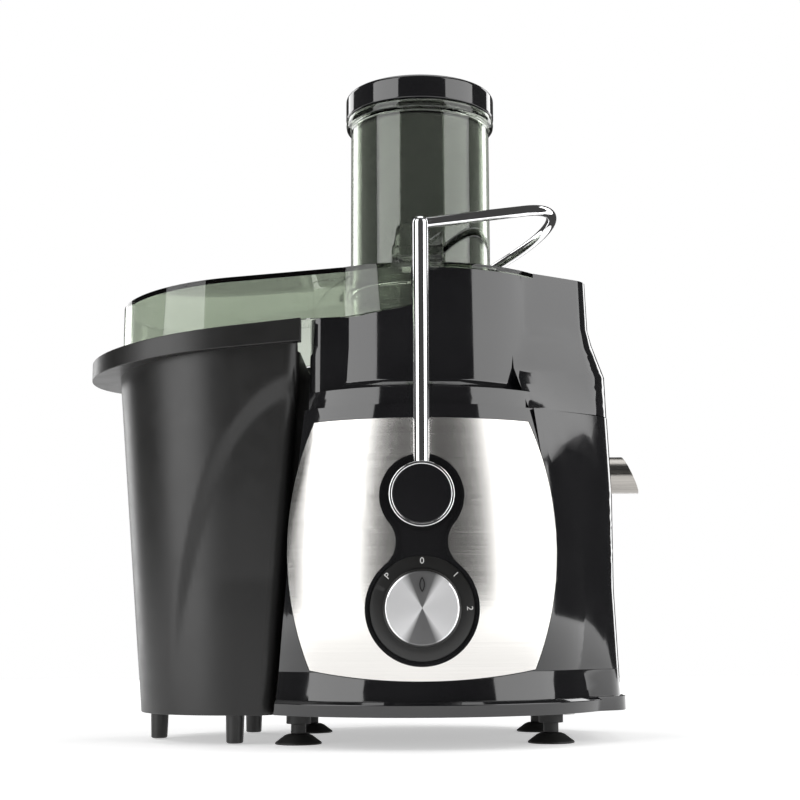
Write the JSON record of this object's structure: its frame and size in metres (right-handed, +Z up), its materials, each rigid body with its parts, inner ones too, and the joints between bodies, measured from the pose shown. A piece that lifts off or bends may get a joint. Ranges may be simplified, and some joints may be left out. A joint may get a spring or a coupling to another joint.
{
  "type": "centrifugal juicer",
  "caption": "Centrifugal juicer with a tall feed chute, translucent lid, rod locking bail, side pulp bin, steel spout and a dial on a curved steel panel.",
  "frame": {"origin": "bottom centre of the whole machine, on the plane of the four suction feet", "axes": "+Z up along the motor shaft, -Y towards the front panel and dial, +X towards the juice spout"},
  "size_m": [0.3147, 0.2358, 0.374],
  "materials": {
    "basket_steel": "satin",
    "bronze": "satin",
    "brushed_panel": "brushed",
    "carbon": "matte",
    "chrome": "polished",
    "copper": "satin",
    "gloss_black": "gloss",
    "laminations": "satin",
    "matte_black": "matte",
    "rubber_black": "matte",
    "satin_black": "satin",
    "smoke_clear": "gloss",
    "spout_steel": "brushed",
    "spun_aluminium": "brushed",
    "zinc": "satin"
  },
  "bodies": {
    "base": {"base_plate": "matte_black", "base_screws": "zinc", "bearing_lower": "bronze", "bearing_upper": "bronze", "bowl_seal": "rubber_black", "bracket_lower": "zinc", "bracket_upper": "zinc", "brush_left": "carbon", "brush_right": "carbon", "chute": "smoke_clear", "control_bezel": "gloss_black", "cord_inlet": "rubber_black", "dial_ring": "satin_black", "field_coils": "copper", "foot_stem_front_left": "matte_black", "foot_stem_front_right": "matte_black", "foot_stem_rear_left": "matte_black", "foot_stem_rear_right": "matte_black", "front_panel": "brushed_panel", "juice_bowl": "gloss_black", "lid": "smoke_clear", "motor_housing": "gloss_black", "plinth": "gloss_black", "rear_boss": "gloss_black", "rotary_switch": "matte_black", "spout": "spout_steel", "spout_collar": "satin_black", "stator_core": "laminations", "suction_cup_front_left": "rubber_black", "suction_cup_front_right": "rubber_black", "suction_cup_rear_left": "rubber_black", "suction_cup_rear_right": "rubber_black"},
    "pusher": {"pusher_body": "gloss_black", "pusher_cap": "gloss_black"},
    "pulp_bin_body": {"pulp_bin": "satin_black"},
    "bail": {"locking_bail": "chrome", "hub_front": "gloss_black", "hub_rear": "gloss_black", "hub_ring_front": "chrome", "hub_ring_rear": "chrome", "hub_cap_front": "gloss_black", "hub_cap_rear": "gloss_black"},
    "knob": {"knob_body": "satin_black", "knob_face": "spun_aluminium", "knob_pointer": "satin_black"},
    "rotor": {"motor_shaft": "zinc", "armature": "laminations", "commutator": "copper", "fan": "matte_black", "drive_coupling": "matte_black", "basket_hub": "matte_black", "grater_disc": "basket_steel", "strainer_cone": "basket_steel", "basket_rim": "matte_black"}
  },
  "joints": [
    {"name": "pusher_slide", "type": "slide", "parent": "base", "child": "pusher", "axis": [0, 0, 1], "range_m": [0, 0.1]},
    {"name": "bin_slide", "type": "slide", "parent": "base", "child": "pulp_bin_body", "axis": [-1, 0, 0], "range_m": [0, 0.15]},
    {"name": "bail_swing", "type": "hinge", "parent": "base", "child": "bail", "pos_m": [0.03265, 0, 0.1262], "axis": [0, 1, 0], "range_deg": [0, 90]},
    {"name": "knob_turn", "type": "hinge", "parent": "base", "child": "knob", "pos_m": [0.03265, -0.11, 0.0698], "axis": [0, 1, 0], "range_deg": [-45, 90]},
    {"name": "rotor_spin", "type": "hinge", "parent": "base", "child": "rotor", "pos_m": [0.03265, 0, 0.15], "axis": [0, 0, 1], "continuous": true}
  ]
}
